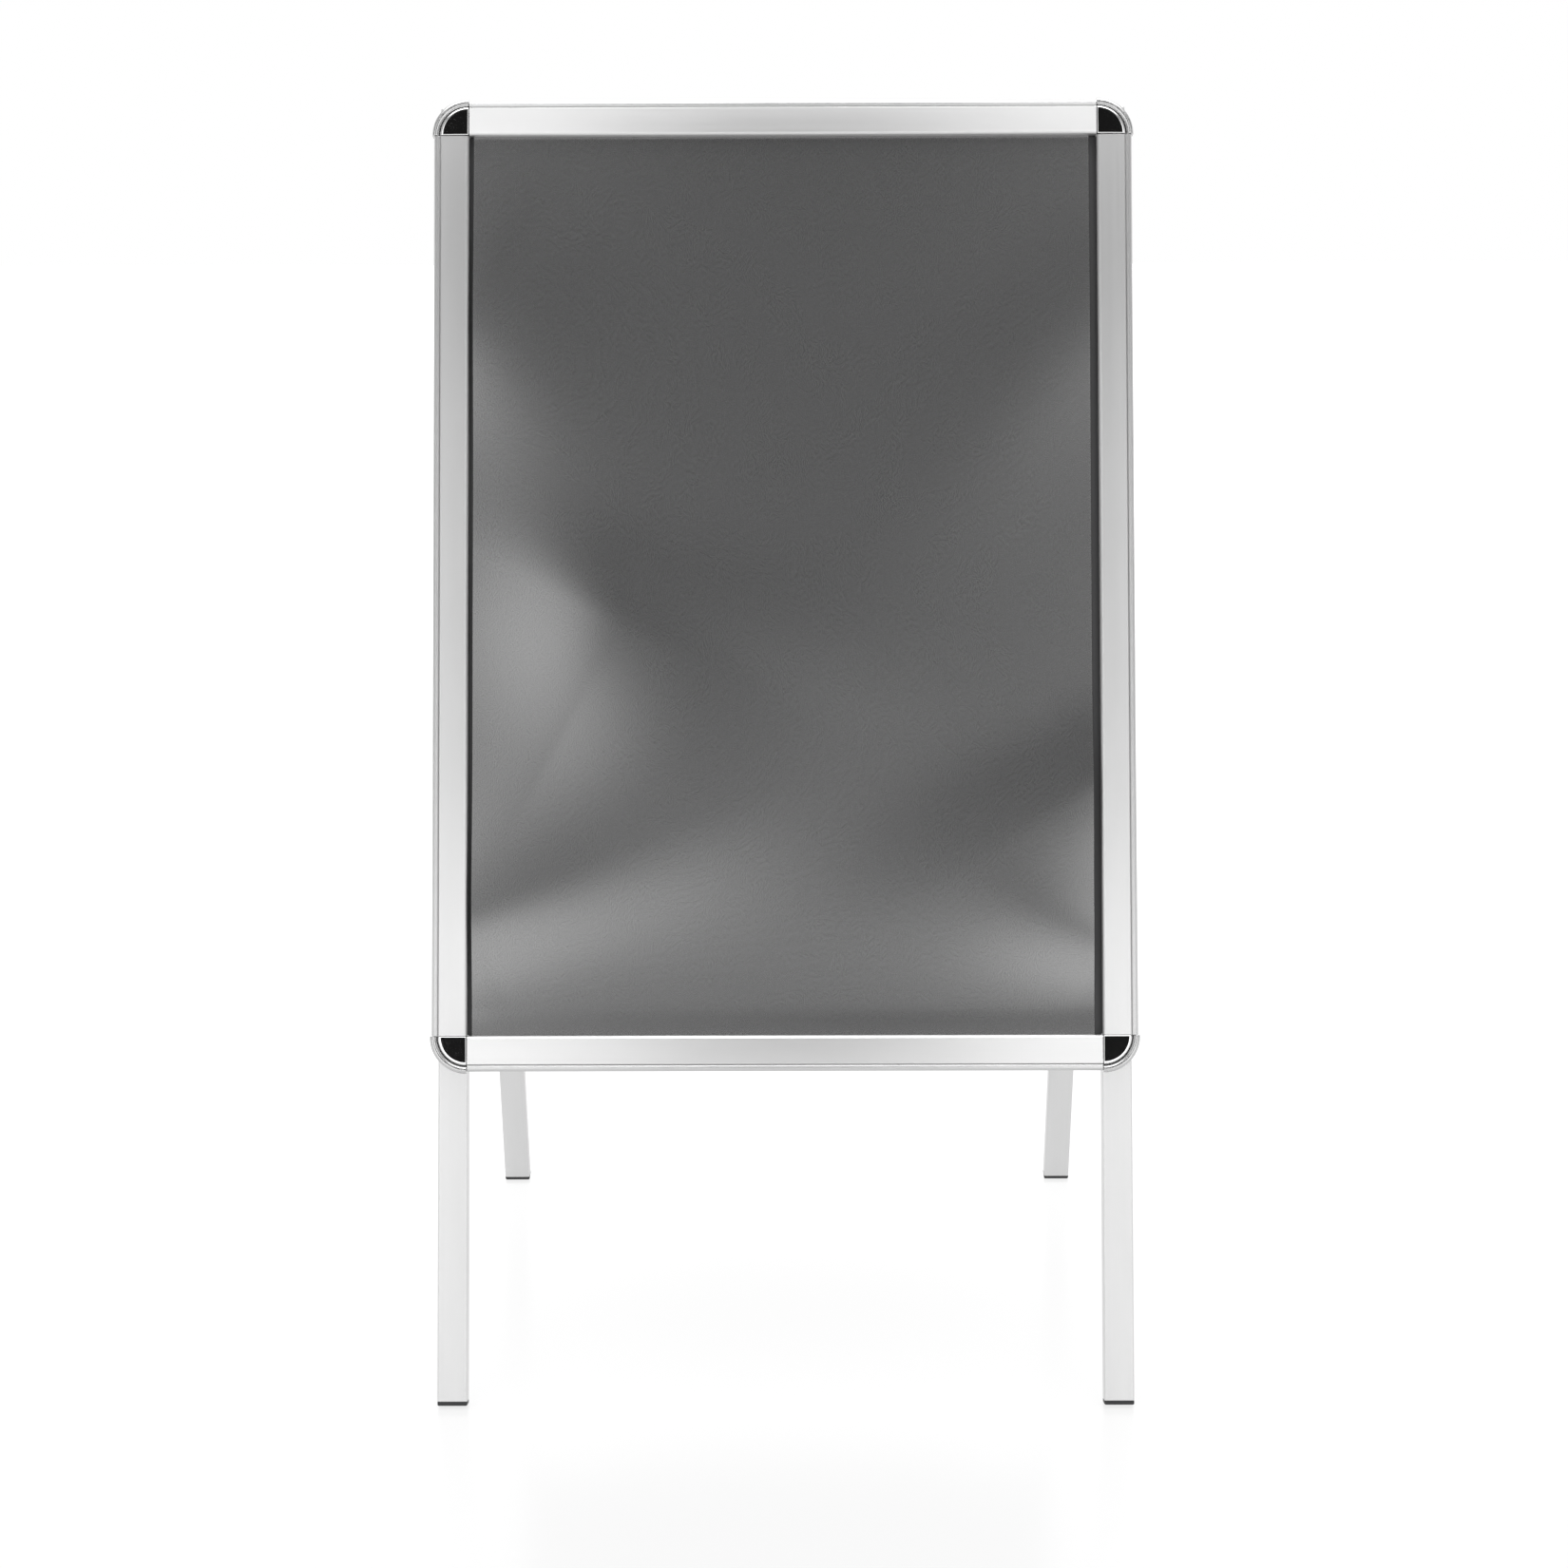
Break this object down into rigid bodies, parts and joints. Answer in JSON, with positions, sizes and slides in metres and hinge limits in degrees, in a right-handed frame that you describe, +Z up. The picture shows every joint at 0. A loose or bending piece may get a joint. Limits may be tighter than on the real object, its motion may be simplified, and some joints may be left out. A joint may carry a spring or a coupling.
{
  "type": "sandwich board",
  "caption": "Folding A-frame sandwich board: snap-open poster frames with rounded chrome corners on tube legs, hinged to each other at the top and held apart by slotted stays.",
  "frame": {"origin": "on the floor, under the middle of the hinge axis, midway between the two sides", "axes": "+X across the board to the right as seen from in front, +Y from the front side to the rear side, +Z up"},
  "size_m": [0.6416, 0.6062, 1.1581],
  "materials": {
    "bar_aluminium": "satin anodised, slightly brushed along each bar",
    "leg_aluminium": "satin anodised tube",
    "chrome": "mirror polished plating",
    "panel_plastic": "dark grey board, low sheen",
    "clear_sheet": "clear anti-glare film, softly reflecting, slightly rippled",
    "black_plastic": "moulded black end plug",
    "zinc_steel": "zinc plated, dull",
    "spring_steel": "bare spring strip"
  },
  "bodies": {
    "front_side": {"front_leg_left": "leg_aluminium", "front_foot_left": "black_plastic", "front_hinge_ear_left": "zinc_steel", "front_stay_rivet_left": "zinc_steel", "front_leg_right": "leg_aluminium", "front_foot_right": "black_plastic", "front_hinge_ear_right": "zinc_steel", "front_stay_rivet_right": "zinc_steel", "front_rail_right": "bar_aluminium", "front_spring_right": "spring_steel", "front_rail_top": "bar_aluminium", "front_spring_top": "spring_steel", "front_rail_left": "bar_aluminium", "front_spring_left": "spring_steel", "front_rail_bottom": "bar_aluminium", "front_spring_bottom": "spring_steel", "front_corner_top_left": "chrome", "front_corner_top_right": "chrome", "front_corner_bottom_left": "chrome", "front_corner_bottom_right": "chrome", "front_back_panel": "panel_plastic", "front_poster_sheet": "clear_sheet", "hinge_pin_left": "zinc_steel", "hinge_pin_right": "zinc_steel"},
    "rear_side": {"rear_leg_left": "leg_aluminium", "rear_foot_left": "black_plastic", "rear_hinge_ear_left": "zinc_steel", "rear_stay_rivet_left": "zinc_steel", "rear_leg_right": "leg_aluminium", "rear_foot_right": "black_plastic", "rear_hinge_ear_right": "zinc_steel", "rear_stay_rivet_right": "zinc_steel", "rear_rail_left": "bar_aluminium", "rear_spring_left": "spring_steel", "rear_rail_top": "bar_aluminium", "rear_spring_top": "spring_steel", "rear_rail_right": "bar_aluminium", "rear_spring_right": "spring_steel", "rear_rail_bottom": "bar_aluminium", "rear_spring_bottom": "spring_steel", "rear_corner_top_left": "chrome", "rear_corner_top_right": "chrome", "rear_corner_bottom_left": "chrome", "rear_corner_bottom_right": "chrome", "rear_back_panel": "panel_plastic", "rear_poster_sheet": "clear_sheet"},
    "front_right_cover": {"front_cover_right": "bar_aluminium"},
    "front_top_cover": {"front_cover_top": "bar_aluminium"},
    "front_left_cover": {"front_cover_left": "bar_aluminium"},
    "front_bottom_cover": {"front_cover_bottom": "bar_aluminium"},
    "rear_left_cover": {"rear_cover_left": "bar_aluminium"},
    "rear_top_cover": {"rear_cover_top": "bar_aluminium"},
    "rear_right_cover": {"rear_cover_right": "bar_aluminium"},
    "rear_bottom_cover": {"rear_cover_bottom": "bar_aluminium"},
    "stay_left": {"stay_left": "zinc_steel"},
    "stay_right": {"stay_right": "zinc_steel"}
  },
  "joints": [
    {"name": "fold", "type": "hinge", "parent": "front_side", "child": "rear_side", "pos_m": [0, 0, 1.14175], "axis": [-1, 0, 0], "range_deg": [0, 28]},
    {"name": "front_right_snap", "type": "hinge", "parent": "front_side", "child": "front_right_cover", "pos_m": [0.31555, -0.13219, 0.72691], "axis": [0, 0.2419, 0.9703], "range_deg": [0, 90]},
    {"name": "front_top_snap", "type": "hinge", "parent": "front_side", "child": "front_top_cover", "pos_m": [0, -0.02597, 1.15291], "axis": [-1, 0, 0], "range_deg": [0, 90]},
    {"name": "front_left_snap", "type": "hinge", "parent": "front_side", "child": "front_left_cover", "pos_m": [-0.31555, -0.13219, 0.72691], "axis": [0, -0.2419, -0.9703], "range_deg": [0, 90]},
    {"name": "front_bottom_snap", "type": "hinge", "parent": "front_side", "child": "front_bottom_cover", "pos_m": [0, -0.2384, 0.3009], "axis": [1, 0, 0], "range_deg": [0, 90]},
    {"name": "rear_left_snap", "type": "hinge", "parent": "rear_side", "child": "rear_left_cover", "pos_m": [-0.31555, 0.13219, 0.72691], "axis": [0, -0.2419, 0.9703], "range_deg": [0, 90]},
    {"name": "rear_top_snap", "type": "hinge", "parent": "rear_side", "child": "rear_top_cover", "pos_m": [0, 0.02597, 1.15291], "axis": [1, 0, 0], "range_deg": [0, 90]},
    {"name": "rear_right_snap", "type": "hinge", "parent": "rear_side", "child": "rear_right_cover", "pos_m": [0.31555, 0.13219, 0.72691], "axis": [0, 0.2419, -0.9703], "range_deg": [0, 90]},
    {"name": "rear_bottom_snap", "type": "hinge", "parent": "rear_side", "child": "rear_bottom_cover", "pos_m": [0, 0.2384, 0.3009], "axis": [-1, 0, 0], "range_deg": [0, 90]},
    {"name": "stay_left_swing", "type": "hinge", "parent": "front_side", "child": "stay_left", "pos_m": [-0.28565, -0.1055, 0.75581], "axis": [1, 0, 0], "range_deg": [0, 10.18]},
    {"name": "stay_right_swing", "type": "hinge", "parent": "front_side", "child": "stay_right", "pos_m": [0.28565, -0.1055, 0.75581], "axis": [1, 0, 0], "range_deg": [0, 10.18]}
  ],
  "couplings": [
    {"joint": "stay_left_swing", "follows": "fold", "ratio": 0.36162},
    {"joint": "stay_right_swing", "follows": "fold", "ratio": 0.36162}
  ]
}
